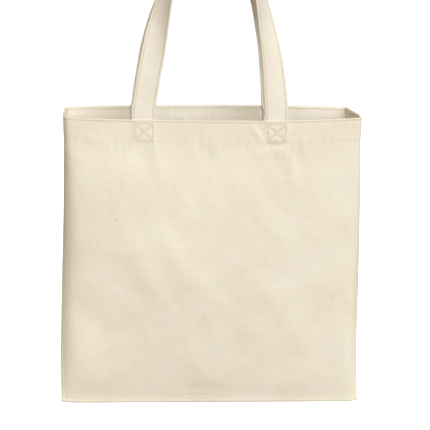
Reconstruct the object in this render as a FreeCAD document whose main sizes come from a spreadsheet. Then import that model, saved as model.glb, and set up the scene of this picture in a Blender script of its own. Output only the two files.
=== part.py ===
import FreeCAD, Part
import Sketcher
import math
import os

# Flat canvas tote bag hanging from its two handles, mouth held open.
# Frame: +Z up, millimetres, origin at the hang point, midway between the two
# handles on the underside of their crowns. X runs along the bag's width,
# -Y is the front.

V = FreeCAD.Vector
doc = FreeCAD.newDocument("tote")

# ---------------------------------------------------------------- dimensions
sheet = doc.addObject("Spreadsheet::Sheet", "Sheet")
sheet.Label = "params"
DIMS = [
    # handles
    ("handle_drop", 236.0),       # rim to the underside of the crown
    ("handle_spread", 78.0),      # handle leg centre line from the middle
    ("strap_wide", 27.0),
    ("strap_thick", 2.0),
    ("crown_offset", 14.6),       # crown centre line from the mid plane
    ("leg_offset", 25.2),         # leg centre line from the mid plane at the rim
    ("leg_rise", 2.5),            # free part starts this far above the rim
    ("sewn_long", 26.0),          # sewn-down length of each strap end
    ("hinge_offset", 29.4),       # fold line from the mid plane
    ("hinge_rise", 1.5),          # fold line above the rim
    # cloth and hem
    ("cloth", 1.0),
    ("hem_thick", 2.4),
    ("hem_deep", 28.0),
    ("panel_gap", 0.15),          # half of the slit between the panels at a seam
    # levels below the rim
    ("level_c", 190.0),
    ("level_b", 320.0),
    ("bag_tall", 384.0),
    # half widths at the side seam
    ("seam_e", 168.2), ("seam_d", 170.5), ("seam_c", 181.0), ("seam_b", 187.0), ("seam_a", 190.5),
    # front corner half widths and depths, middle depths
    ("fcor_e", 172.0), ("fcor_d", 173.0), ("fcor_c", 177.0), ("fcor_b", 184.0), ("fcor_a", 189.6),
    ("fdep_e", 23.0), ("fdep_d", 22.0), ("fdep_c", 14.0), ("fdep_b", 6.0), ("fdep_a", 2.2),
    ("fmid_e", 33.0), ("fmid_d", 32.5), ("fmid_c", 27.0), ("fmid_b", 16.0), ("fmid_a", 2.6),
    # back corner half widths and depths, middle depths
    ("bcor_e", 164.5), ("bcor_d", 166.5), ("bcor_c", 176.0), ("bcor_b", 184.0), ("bcor_a", 189.6),
    ("bdep_e", 22.0), ("bdep_d", 21.0), ("bdep_c", 14.0), ("bdep_b", 6.0), ("bdep_a", 2.2),
    ("bmid_e", 33.0), ("bmid_d", 32.5), ("bmid_c", 27.0), ("bmid_b", 16.0), ("bmid_a", 2.6),
    # seams and thread
    ("seam_wide", 8.0),
    ("seam_thick", 1.8),
    ("thread_wide", 0.7),
    ("thread_proud", 0.4),
    ("cross_side", 19.5),
    ("row_inset", 2.6),
]
P = {}
for i, (alias, value) in enumerate(DIMS):
    cell = "B%d" % (i + 1)
    sheet.set("A%d" % (i + 1), alias)
    sheet.set(cell, "%g" % value)
    sheet.setAlias(cell, alias)
doc.recompute()
for alias, _ in DIMS:
    P[alias] = float(getattr(sheet, alias))


def ref(alias):
    return "<<params>>." + alias


# ------------------------------------------------------------------- sketches
def plane_of(body, role):
    for f in body.Origin.OriginFeatures:
        if f.Role == role:
            return f
    raise RuntimeError("no plane " + role)


def pin(sk, geo, pos, x, ex, y, ey, name):
    """Fix one point by its distances from the origin, each bound to the sheet."""
    for axis, val, expr in (("X", x, ex), ("Y", y, ey)):
        kind = "Distance" + axis
        if val >= 0:
            k = sk.addConstraint(Sketcher.Constraint(kind, -1, 1, geo, pos, abs(val)))
        else:
            k = sk.addConstraint(Sketcher.Constraint(kind, geo, pos, -1, 1, abs(val)))
        label = name + axis.lower()
        sk.renameConstraint(k, label)
        sk.setExpression("Constraints." + label, expr)


def arc3(a, m, b):
    """Arc from left to right through its middle, always drawn anticlockwise."""
    if m[1] > a[1]:
        a, b = b, a
    return Part.Arc(V(*a, 0), V(*m, 0), V(*b, 0))


def panel_section(body, name, side, lv, thick, depth_expr, depth):
    """Closed profile of one panel at one level: seam, corner, bowed face, corner,
    seam outside, and the same line one thickness further in."""
    pre = "f" if side < 0 else "b"
    cor, dep, mid = pre + "cor_" + lv, pre + "dep_" + lv, pre + "mid_" + lv
    seam = "seam_" + lv
    t, et = P[thick], ref(thick)
    g, eg = P["panel_gap"], ref("panel_gap")
    sk = body.newObject("Sketcher::SketchObject", name)
    sk.AttachmentSupport = [(plane_of(body, "XY_Plane"), "")]
    sk.MapMode = "FlatFace"
    sk.AttachmentOffset = FreeCAD.Placement(V(0, 0, depth), FreeCAD.Rotation())
    sk.setExpression("AttachmentOffset.Base.z", depth_expr)
    s = side
    out = [(-P[seam], s * g), (-P[cor], s * P[dep]), (P[cor], s * P[dep]), (P[seam], s * g)]
    inn = [(-P[seam] + t, s * g), (-P[cor] + t, s * (P[dep] - t)), (P[cor] - t, s * (P[dep] - t)), (P[seam] - t, s * g)]
    mo, mi = (0, s * P[mid]), (0, s * (P[mid] - t))
    geo = [
        Part.LineSegment(V(*out[0], 0), V(*out[1], 0)),
        arc3(out[1], mo, out[2]),
        Part.LineSegment(V(*out[2], 0), V(*out[3], 0)),
        Part.LineSegment(V(*out[3], 0), V(*inn[3], 0)),
        Part.LineSegment(V(*inn[3], 0), V(*inn[2], 0)),
        arc3(inn[1], mi, inn[2]),
        Part.LineSegment(V(*inn[1], 0), V(*inn[0], 0)),
        Part.LineSegment(V(*inn[0], 0), V(*out[0], 0)),
    ]
    sk.addGeometry(geo, False)

    def ends(k):
        e = sk.Geometry[k]
        return (e.StartPoint, e.EndPoint)

    def pos_at(k, p):
        a, b = ends(k)
        return 1 if (a - V(*p, 0)).Length < (b - V(*p, 0)).Length else 2

    joins = [(0, 1, out[1]), (1, 2, out[2]), (2, 3, out[3]), (3, 4, inn[3]),
             (4, 5, inn[2]), (5, 6, inn[1]), (6, 7, inn[0]), (7, 0, out[0])]
    for a, b, p in joins:
        sk.addConstraint(Sketcher.Constraint("Coincident", a, pos_at(a, p), b, pos_at(b, p)))
    es, ec, ed = ref(seam), ref(cor), ref(dep)
    pin(sk, 0, pos_at(0, out[0]), out[0][0], es, out[0][1], eg, "oa")
    pin(sk, 0, pos_at(0, out[1]), out[1][0], ec, out[1][1], ed, "ob")
    pin(sk, 2, pos_at(2, out[2]), out[2][0], ec, out[2][1], ed, "oc")
    pin(sk, 2, pos_at(2, out[3]), out[3][0], es, out[3][1], eg, "od")
    pin(sk, 4, pos_at(4, inn[3]), inn[3][0], es + " - " + et, inn[3][1], eg, "ia")
    pin(sk, 4, pos_at(4, inn[2]), inn[2][0], ec + " - " + et, inn[2][1], ed + " - " + et, "ib")
    pin(sk, 6, pos_at(6, inn[1]), inn[1][0], ec + " - " + et, inn[1][1], ed + " - " + et, "ic")
    pin(sk, 6, pos_at(6, inn[0]), inn[0][0], es + " - " + et, inn[0][1], eg, "id")
    for k, half, sub in ((1, P[cor], ""), (5, P[cor] - t, " - " + et)):
        bow = P[mid] - P[dep]
        rad = (half * half + bow * bow) / (2 * bow)
        c = sk.addConstraint(Sketcher.Constraint("Radius", k, rad))
        label = "bow%d" % k
        sk.renameConstraint(c, label)
        eb = "(%s - %s)" % (ref(mid), ref(dep))
        sk.setExpression("Constraints." + label,
                         "((%s%s)^2 + %s^2) / (2 * %s)" % (ref(cor), sub, eb, eb))
    return sk


def rim(expr=""):
    return "-<<params>>.handle_drop" + expr


R = -P["handle_drop"]


def make_panel(label, side):
    body = doc.addObject("PartDesign::Body", label + "_body")
    body.Label = label
    lev = [
        ("a", rim(" - <<params>>.bag_tall"), R - P["bag_tall"]),
        ("b", rim(" - <<params>>.level_b"), R - P["level_b"]),
        ("c", rim(" - <<params>>.level_c"), R - P["level_c"]),
        ("d", rim(" - <<params>>.hem_deep"), R - P["hem_deep"]),
    ]
    sks = [panel_section(body, label + "_sec_" + n, side, n, "cloth", e, z) for n, e, z in lev]
    doc.recompute()
    low = body.newObject("PartDesign::AdditiveLoft", label + "_cloth")
    low.Profile = sks[0]
    low.Sections = sks[1:]
    low.Ruled = False
    low.Closed = False
    doc.recompute()
    h0 = panel_section(body, label + "_hem_low", side, "d", "hem_thick", rim(" - <<params>>.hem_deep"), R - P["hem_deep"])
    h1 = panel_section(body, label + "_hem_top", side, "e", "hem_thick", rim(), R)
    doc.recompute()
    hem = body.newObject("PartDesign::AdditiveLoft", label + "_hem")
    hem.Profile = h0
    hem.Sections = [h1]
    hem.Ruled = True
    hem.Closed = False
    doc.recompute()
    body.Tip = hem
    return body


front_panel = make_panel("front_panel", -1)
back_panel = make_panel("back_panel", 1)


# ------------------------------------------------------- strap ends, sewn down
def make_end(label, sx, sy):
    body = doc.addObject("PartDesign::Body", label + "_body")
    body.Label = label
    sk = body.newObject("Sketcher::SketchObject", label + "_sketch")
    sk.AttachmentSupport = [(plane_of(body, "XY_Plane"), "")]
    sk.MapMode = "FlatFace"
    a, b = P["strap_wide"] / 2, P["strap_thick"] / 2
    pts = [V(-a, -b, 0), V(a, -b, 0), V(a, b, 0), V(-a, b, 0)]
    sk.addGeometry([Part.LineSegment(pts[i], pts[(i + 1) % 4]) for i in range(4)], False)
    for i in range(4):
        sk.addConstraint(Sketcher.Constraint("Coincident", i, 2, (i + 1) % 4, 1))
    sk.addConstraint(Sketcher.Constraint("Horizontal", 0))
    sk.addConstraint(Sketcher.Constraint("Horizontal", 2))
    sk.addConstraint(Sketcher.Constraint("Vertical", 1))
    sk.addConstraint(Sketcher.Constraint("Vertical", 3))
    sk.addConstraint(Sketcher.Constraint("Symmetric", 0, 1, 2, 1, -1, 1))
    w = sk.addConstraint(Sketcher.Constraint("DistanceX", 0, 1, 0, 2, 2 * a))
    sk.renameConstraint(w, "wide")
    sk.setExpression("Constraints.wide", ref("strap_wide"))
    d = sk.addConstraint(Sketcher.Constraint("DistanceY", 1, 1, 1, 2, 2 * b))
    sk.renameConstraint(d, "deep")
    sk.setExpression("Constraints.deep", ref("strap_thick"))
    pad = body.newObject("PartDesign::Pad", label + "_pad")
    pad.Profile = sk
    pad.Length = P["sewn_long"]
    pad.setExpression("Length", ref("sewn_long"))
    body.Placement = FreeCAD.Placement(
        V(sx * P["handle_spread"], sy * P["leg_offset"], R - P["sewn_long"]), FreeCAD.Rotation())
    body.setExpression("Placement.Base.x", ("" if sx > 0 else "-") + ref("handle_spread"))
    body.setExpression("Placement.Base.y", ("" if sy > 0 else "-") + ref("leg_offset"))
    body.setExpression("Placement.Base.z", rim(" - <<params>>.sewn_long"))
    doc.recompute()
    return body


ends = [
    make_end("front_left_handle_end", -1, -1),
    make_end("front_right_handle_end", 1, -1),
    make_end("back_left_handle_end", -1, 1),
    make_end("back_right_handle_end", 1, 1),
]


# ------------------------------------------------------------ free strap arches
def strap_frames(side, count=48):
    """Stations along one handle: centre, width direction, outward normal. Each
    leg leaves the rim flat to the panel and makes a quarter turn on the way up,
    so that the crown lies flat on what it hangs from."""
    h = P["handle_drop"] + P["strap_thick"] / 2 - P["leg_rise"]
    out = []
    for i in range(count + 1):
        phi = math.pi * i / count
        u = max(math.sin(phi), 0.0) ** (4.0 / 3.0)
        x = -P["handle_spread"] * math.cos(phi)
        z = R + P["leg_rise"] + h * u
        y = side * (P["leg_offset"] + (P["crown_offset"] - P["leg_offset"]) * u)
        out.append((phi, V(x, y, z)))
    res = []
    for i, (phi, c) in enumerate(out):
        if i == 0 or i == count:
            tan = V(0, 0, 1 if i == 0 else -1)
        else:
            tan = out[i + 1][1] - out[i - 1][1]
            tan.y = 0.0
            tan.normalize()
        a = min(phi, math.pi - phi) / math.radians(62.0)
        turn = math.radians(90.0) * min(1.0, a ** 1.3)
        # in-plane direction square to the strap, pointing away from the loop
        flat = V(-tan.z, 0, tan.x)
        if i <= count // 2:
            w = flat * math.cos(turn) + V(0, -side, 0) * math.sin(turn)
        else:
            w = flat * math.cos(turn) + V(0, -side, 0) * math.sin(turn)
        w.normalize()
        n = tan.cross(w)
        n.normalize()
        res.append((c, w, n))
    return res


def ribbon(frames, wide, thick, across=0.0, lift=0.0):
    wires = []
    for c, w, n in frames:
        m = c + w * across + n * lift
        q = [m + w * (sw * wide / 2) + n * (sn * thick / 2) for sw, sn in ((-1, -1), (1, -1), (1, 1), (-1, 1))]
        wires.append(Part.makePolygon(q + [q[0]]))
    return Part.makeLoft(wires, True, True)


def feature(label, shape, at=None):
    f = doc.addObject("Part::Feature", label + "_feature")
    f.Label = label
    f.Shape = shape
    f.Placement = FreeCAD.Placement(at or V(0, 0, 0), FreeCAD.Rotation())
    return f


nodes = [front_panel, back_panel] + ends
for label, side in (("front_handle", -1), ("back_handle", 1)):
    fr = strap_frames(side)
    nodes.append(feature(label, ribbon(fr, P["strap_wide"], P["strap_thick"])))
    rows = []
    edge = P["strap_wide"] / 2 - P["row_inset"]
    lift = P["strap_thick"] / 2 + P["thread_proud"] / 2 + 0.03
    for across in (-edge, edge):
        for up in (-lift, lift):
            rows.append(ribbon(fr[1:-1], P["thread_wide"], P["thread_proud"], across, up))
    nodes.append(feature(label + "_stitching", Part.makeCompound(rows)))


# ------------------------------------------------------------------ hem thread
def hem_row(side, below):
    """One row of thread across the outside of a hem, following the bowed face
    from corner to corner."""
    pre = "f" if side < 0 else "b"
    f = below / P["hem_deep"]

    def mix(stem):
        return P[stem + "_e"] * (1 - f) + P[stem + "_d"] * f

    cor, dep, mid = mix(pre + "cor"), mix(pre + "dep"), mix(pre + "mid")
    bow = mid - dep
    rad = (cor * cor + bow * bow) / (2 * bow)
    reach = cor - 3.0
    z = R - below - P["thread_wide"] / 2

    def line(out):
        r = rad + out
        yc = mid - rad
        e = yc + math.sqrt(r * r - reach * reach)
        a, m, c = V(-reach, side * e, z), V(0, side * (yc + r), z), V(reach, side * e, z)
        return Part.Arc(a, m, c).toShape(), a, c

    near, na, nc = line(0.05)
    far, fa, fc = line(0.05 + P["thread_proud"])
    face = Part.Face(Part.Wire([near, Part.makeLine(nc, fc), far, Part.makeLine(fa, na)]))
    return face.extrude(V(0, 0, P["thread_wide"]))


for label, side in (("front_hem_stitching", -1), ("back_hem_stitching", 1)):
    rows = [hem_row(side, below) for below in (3.0, P["hem_deep"] - 2.5)]
    nodes.append(feature(label, Part.makeCompound(rows)))


# ---------------------------------------------------------------- cross boxes
def cross_box(sx, sy):
    """A square of thread with both diagonals, on the outside of the hem over a
    sewn strap end."""
    side = P["cross_side"]
    w, p = P["thread_wide"], P["thread_proud"]
    cz = R - 4.4 - side / 2
    pre = "f" if sy < 0 else "b"
    mid = P[pre + "mid_e"]
    cor, dep = P[pre + "cor_e"], P[pre + "dep_e"]
    bow = mid - dep
    rad = (cor * cor + bow * bow) / (2 * bow)
    xs = P["handle_spread"] - side / 2
    y = mid - rad + math.sqrt(rad * rad - xs * xs) + 0.05
    bars = []
    for kind in range(6):
        if kind < 4:
            ln, ang = side, 0.0 if kind < 2 else 90.0
            off = V(0, 0, (-side / 2, side / 2)[kind]) if kind < 2 else V((-side / 2, side / 2)[kind - 2], 0, 0)
        else:
            ln, ang = side * math.sqrt(2.0), (45.0, -45.0)[kind - 4]
            off = V(0, 0, 0)
        b = Part.makeBox(ln + w, p, w, V(-(ln + w) / 2, -p / 2, -w / 2))
        b.rotate(V(0, 0, 0), V(0, 1, 0), ang)
        b.translate(off)
        bars.append(b)
    s = bars[0].multiFuse(bars[1:])
    return s.Solids[0], V(sx * P["handle_spread"], sy * (y + p / 2), cz)


for label, sx, sy in (("front_left_cross_stitch", -1, -1), ("front_right_cross_stitch", 1, -1),
                      ("back_left_cross_stitch", -1, 1), ("back_right_cross_stitch", 1, 1)):
    nodes.append(feature(label, *cross_box(sx, sy)))

# --------------------------------------------------------------- seams inside
for label, sx in (("left_side_seam", -1), ("right_side_seam", 1)):
    fr = []
    for lv, below in (("d", P["hem_deep"]), ("c", P["level_c"]), ("b", P["level_b"]), ("a", P["bag_tall"] - 12.0)):
        x = P["seam_" + lv] - P["cloth"] - 1.2 - P["seam_wide"] / 2
        fr.append((V(sx * x, 0, R - below), V(1, 0, 0), V(0, 1, 0)))
    fr.insert(0, (V(sx * (P["seam_e"] - P["hem_thick"] - 1.2 - P["seam_wide"] / 2), 0, R - 2.0), V(1, 0, 0), V(0, 1, 0)))
    nodes.append(feature(label, ribbon(fr, P["seam_wide"], P["seam_thick"])))

bottom = doc.addObject("Part::Box", "bottom_seam_box")
bottom.Label = "bottom_seam"
bottom.setExpression("Length", "2 * (<<params>>.seam_a - 3)")
bottom.setExpression("Width", ref("seam_thick"))
bottom.setExpression("Height", ref("seam_wide"))
bottom.Placement = FreeCAD.Placement(
    V(-(P["seam_a"] - 3), -P["seam_thick"] / 2, R - P["bag_tall"] + 0.6), FreeCAD.Rotation())
bottom.setExpression("Placement.Base.x", "-(<<params>>.seam_a - 3)")
bottom.setExpression("Placement.Base.y", "-<<params>>.seam_thick / 2")
bottom.setExpression("Placement.Base.z", rim(" - <<params>>.bag_tall + 0.6"))
nodes.append(bottom)

# ----------------------------------------------------------- check and write
doc.recompute()
for o in doc.Objects:
    bad = [st for st in o.State if st in ("Invalid", "Error")]
    if bad:
        raise RuntimeError("%s is %s" % (o.Label, bad))
for o in nodes:
    s = o.Shape
    if s.isNull() or not s.isValid() or s.Volume <= 0:
        raise RuntimeError("bad shape: " + o.Label)

os.makedirs("parts", exist_ok=True)
for o in nodes:
    s = o.Shape.copy()
    if len(s.Solids) == 1:
        s = s.Solids[0]
    s.exportStep("parts/%s.step" % o.Label)
    bb = s.BoundBox
    print("%-26s solids %d vol %9.1f  x %.1f..%.1f y %.1f..%.1f z %.1f..%.1f" % (
        o.Label, len(s.Solids), s.Volume, bb.XMin, bb.XMax, bb.YMin, bb.YMax, bb.ZMin, bb.ZMax))
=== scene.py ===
import math

import bpy
import numpy as np
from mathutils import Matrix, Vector


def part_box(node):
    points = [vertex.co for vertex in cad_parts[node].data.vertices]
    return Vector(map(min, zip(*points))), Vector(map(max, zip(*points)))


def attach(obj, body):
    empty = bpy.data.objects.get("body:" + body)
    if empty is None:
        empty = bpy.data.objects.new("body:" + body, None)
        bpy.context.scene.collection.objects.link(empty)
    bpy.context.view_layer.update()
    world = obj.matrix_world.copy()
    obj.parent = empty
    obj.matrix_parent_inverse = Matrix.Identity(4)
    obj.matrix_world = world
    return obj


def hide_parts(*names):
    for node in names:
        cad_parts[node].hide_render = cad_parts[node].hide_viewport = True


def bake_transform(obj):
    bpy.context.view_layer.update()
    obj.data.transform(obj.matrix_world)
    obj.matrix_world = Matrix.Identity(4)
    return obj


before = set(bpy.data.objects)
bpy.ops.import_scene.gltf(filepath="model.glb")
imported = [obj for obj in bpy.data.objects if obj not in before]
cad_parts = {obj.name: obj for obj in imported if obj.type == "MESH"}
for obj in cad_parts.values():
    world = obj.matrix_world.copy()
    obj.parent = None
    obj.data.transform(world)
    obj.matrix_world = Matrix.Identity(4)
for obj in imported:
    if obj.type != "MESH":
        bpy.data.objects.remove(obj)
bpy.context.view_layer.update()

# ------------------------------------------------------------------ the frame
MM = 0.001
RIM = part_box("front_panel")[1][2] / MM          # rim height
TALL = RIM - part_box("front_panel")[0][2] / MM   # rim to bottom edge
HALF = (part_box("front_panel")[1][0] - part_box("front_panel")[0][0]) / MM / 2   # half the flat width
STRAP = 27.0
CLOTH = 0.8
CROSS_TOP, CROSS_TALL = 4.2, 20.8
HEM = 28.0
SPREAD = 78.0


def smooth(a, b, x):
    t = np.clip((np.asarray(x, float) - a) / (b - a), 0, 1)
    return t * t * (3 - 2 * t)


# ------------------------------------------------------------- seeded 2D noise
def lattice(seed, n=256):
    r = np.random.default_rng(seed)
    a = r.uniform(0, 2 * np.pi, (n, n))
    return np.cos(a), np.sin(a)


_lat = {}


def noise(u, v, seed):
    """Gradient noise, about -1 to 1, the same on every run."""
    if seed not in _lat:
        _lat[seed] = lattice(seed)
    gx, gy = _lat[seed]
    u, v = np.broadcast_arrays(np.asarray(u, float), np.asarray(v, float))
    iu, iv = np.floor(u).astype(int), np.floor(v).astype(int)
    fu, fv = u - iu, v - iv

    def corner(du, dv):
        a, b = (iu + du) & 255, (iv + dv) & 255
        return gx[a, b] * (fu - du) + gy[a, b] * (fv - dv)

    wu, wv = fu * fu * fu * (fu * (fu * 6 - 15) + 10), fv * fv * fv * (fv * (fv * 6 - 15) + 10)
    top = corner(0, 0) * (1 - wu) + corner(1, 0) * wu
    low = corner(0, 1) * (1 - wu) + corner(1, 1) * wu
    return (top * (1 - wv) + low * wv) * 1.5


# ----------------------------------------------------------- shape of the body
LEVELS = [0, 28, 96, 192, 320, 384]


def by_level(values):
    """A smooth curve through values at LEVELS."""
    x, y = np.array(LEVELS, float), np.array(values, float)
    m = np.gradient(y, x)

    def f(h):
        h = np.clip(np.asarray(h, float), 0, 384)
        k = np.clip(np.searchsorted(x, h, side="right") - 1, 0, len(x) - 2)
        d = x[k + 1] - x[k]
        t = (h - x[k]) / d
        return ((2 * t**3 - 3 * t**2 + 1) * y[k] + (t**3 - 2 * t**2 + t) * d * m[k]
                + (-2 * t**3 + 3 * t**2) * y[k + 1] + (t**3 - t**2) * d * m[k + 1])

    return f


SEAM_X = by_level([174.0, 174.5, 177.8, 182.8, 187.7, 190.2])
CENTRE = by_level([2.0, 2.2, 2.8, 2.0, 0.4, 1.2])   # the bag hangs slightly off square
SEAM_Y = {"L": by_level([2.0, 1.8, 1.2, 0.4, 0.0, 0.0]), "R": by_level([-5.6, -5.2, -3.6, -1.8, -0.4, 0.0])}
CORNER = {
    (-1, "L"): by_level([20.0, 19.6, 17.0, 13.0, 8.0, 4.0]),
    (-1, "R"): by_level([16.0, 15.8, 13.5, 10.0, 5.5, 3.0]),
    (1, "L"): by_level([23.0, 22.6, 18.5, 12.5, 6.0, 3.0]),
    (1, "R"): by_level([32.0, 31.2, 24.5, 15.0, 6.5, 3.0]),
}
SOFT = {
    (-1, "L"): by_level([3.0, 4.2, 10.4, 12.6, 11.0, 9.0]),
    (-1, "R"): by_level([1.6, 1.8, 4.0, 7.0, 9.0, 9.0]),
    (1, "L"): by_level([4.2, 4.5, 6.2, 8.0, 9.0, 9.0]),
    (1, "R"): by_level([1.6, 1.9, 4.5, 7.5, 9.0, 9.0]),
}
BOW = {-1: by_level([10.8, 10.9, 11.8, 11.3, 4.6, 0.0]), 1: by_level([7.4, 7.6, 9.5, 12.0, 7.5, 0.0])}
EASE = by_level([1.030, 1.026, 1.012, 1.0, 1.0, 1.0])      # the back rim is stretched a little by its strap
SLIP = by_level([-0.6, -0.5, -0.2, 0.0, 0.0, 0.0])        # and its middle sits a hair to the left
POWER = by_level([2.7, 2.7, 2.5, 2.2, 2.0, 2.0])
SEWN = {-1: {-1: -77.4, 1: 77.2}, 1: {-1: -79.4, 1: 76.4}}   # where each strap end is sewn


def sewn_at(side):
    """Flat cloth coordinate of each sewn strap end."""
    return [sewn_s(side, k) for k in (-1, 1)]


def sewn_s(side, k):
    return SEWN[side][k] - float(CENTRE(0)) - (float(SLIP(0)) if side > 0 else 0.0)


def area_under(y, step):
    return float((y.sum() - 0.5 * (y[0] + y[-1])) * step)


def columns():
    """Distance from the left seam for each column, negative in the allowance."""
    inner = [-8.0, -6.0, -4.0, -3.0, -2.2, -1.6, -1.1, -0.7, -0.35]
    q = [0.0]
    while q[-1] < 2 * HALF - 0.6:
        x = q[-1]
        end = min(x, 2 * HALF - x)
        fine = min(abs(x - HALF - c) for side in (-1, 1) for c in sewn_at(side)) < 17.5
        q.append(x + (1.0 if end < 39.5 or fine else 1.9))
    q = np.array(q)
    q = q * (2 * HALF / q[-1])
    return np.concatenate([inner, q, [2 * HALF - x for x in reversed(inner)]])


Q = columns()
S = Q - HALF


def section(side, h, allowance):
    """One horizontal section of a panel at height h below the rim: x, y at each
    column. The cloth keeps its width: where the sides turn in, the bag narrows."""
    xs_want = float(SEAM_X(h))
    ease = float(EASE(h)) if side > 0 else 1.0
    slip = float(SLIP(h)) if side > 0 else 0.0
    out = []
    for end in ("L", "R"):
        d = float(CORNER[(side, end)](h))
        tau = float(SOFT[(side, end)](h)) * 0.62
        q = Q if end == "L" else 2 * HALF - Q[::-1]
        qa = np.where(q < 0, q * allowance, q)
        use = q <= HALF + 0.001
        qh = qa[use]
        if qh[-1] < HALF - 0.01:
            qh = np.append(qh, HALF)
        t = 1 / (1 + np.exp(np.clip((qh - d) / tau, -40, 40)))
        fine = np.arange(0, HALF + 0.01, 0.5)
        tf = 1 / (1 + np.exp(np.clip((fine - d) / tau, -40, 40)))
        lo, hi = 0.0, math.radians(150)
        for _ in range(30):
            a = (lo + hi) / 2
            if area_under(np.cos(a * tf), 0.5) * ease > xs_want + (slip if end == "L" else -slip):
                lo = a
            else:
                hi = a
        ang = a * t
        a0 = a / (1 + math.exp(-d / tau))
        turn = smooth(0.0, 1.0, np.clip(-qh / 1.6, 0, 1))
        ang = np.where(qh < 0, a0 + (math.pi - a0) * turn, ang)
        # integrate outward from the seam at q = 0
        mid = (ang[1:] + ang[:-1]) / 2
        dq = np.diff(qh) * ease
        cx = np.concatenate([[0], np.cumsum(np.cos(mid) * dq)])
        cy = np.concatenate([[0], np.cumsum(np.sin(mid) * dq)])
        z0 = int(np.argmin(np.abs(qh)))
        cx, cy = cx - cx[z0], cy - cy[z0]
        out.append((qh, cx, cy))
    (ql, xl, yl), (qr, xr, yr) = out
    s = S
    # left half measured from the left seam, right half from the right one
    qa_l = np.where(Q < 0, Q * allowance, Q)
    q2 = 2 * HALF - Q
    qa_r = np.where(q2 < 0, q2 * allowance, q2)
    x_l = -xs_want + np.interp(qa_l, ql, xl)
    y_l = np.interp(np.minimum(qa_l, HALF), ql, yl)
    x_r = xs_want - np.interp(qa_r, qr, xr)
    y_r = np.interp(np.minimum(qa_r, HALF), qr, yr)
    x = np.where(s <= 0, x_l, x_r)
    w = smooth(-110, 110, s)
    y = y_l * (1 - w) + y_r * w
    ends = np.where(s < 0, HALF - float(CORNER[(side, "L")](h)), HALF - float(CORNER[(side, "R")](h)))
    face = np.clip(1 - np.minimum(np.abs(s) / ends, 1) ** float(POWER(h)), 0, 1)
    y = y + float(BOW[side](h)) * face
    ys = float(SEAM_Y["L"](h)) * (1 - w) + float(SEAM_Y["R"](h)) * w
    gap = CLOTH / 2 + 0.05 + ALLOW_IN * float(smooth(TALL - 12, TALL - 2, h))
    return x + float(CENTRE(h)), ys + side * (y + gap)


# -------------------------------------------------- folds pressed into the cloth
def ridge(s, h, a, b, width, amp, power=1.0, skew=0.0):
    """A soft fold along the line a to b, in flat cloth coordinates, fading out
    towards both ends. Skew makes its right-hand side the steeper one."""
    ax, ay = a
    bx, by = b
    dx, dy = bx - ax, by - ay
    ln = math.hypot(dx, dy)
    t = ((s - ax) * dx + (h - ay) * dy) / ln**2
    dist = ((s - ax) * dy - (h - ay) * dx) / ln
    along = np.clip(1 - (2 * t - 1) ** 2, 0, 1) ** power
    width = width * (1 - skew * np.tanh(dist / width * 1.5))
    return amp * np.exp(-((dist / width) ** 2)) * along


def strap_bump(s, h, at):
    """The sewn strap end showing through the hem."""
    a = smooth(STRAP / 2 + 1.2, STRAP / 2 - 0.8, np.abs(s - at))
    return a * smooth(HEM - 0.5, HEM - 2.5, h) * smooth(-1, 2, h)


def cross_relief(s, h, c):
    """The square and cross of stitches pulls the layers together; the cloth
    between the lines stays full."""
    a, top, low = 10.8, CROSS_TOP, CROSS_TOP + CROSS_TALL
    inside = smooth(a + 2.5, a + 0.5, np.abs(s - c)) * smooth(low + 2.5, low + 0.5, h) * smooth(top - 2.0, top, h)
    dist = np.full(np.broadcast(s, h).shape, 99.0)
    for x0, y0, x1, y1 in ((c - a, top, c + a, top), (c + a, top, c + a, low), (c + a, low, c - a, low), (c - a, low, c - a, top),
                           (c - a, top, c + a, low), (c + a, top, c - a, low)):
        dx, dy = x1 - x0, y1 - y0
        t = np.clip(((s - x0) * dx + (h - y0) * dy) / (dx * dx + dy * dy), 0, 1)
        dist = np.minimum(dist, np.hypot(s - x0 - t * dx, h - y0 - t * dy))
    return -0.34 * np.exp(-((dist / 1.15) ** 2)) + 0.2 * inside * smooth(0.8, 3.6, dist) * (1 + 1.4 * noise(s / 5.5 + c, h / 5.5, 63))


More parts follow.
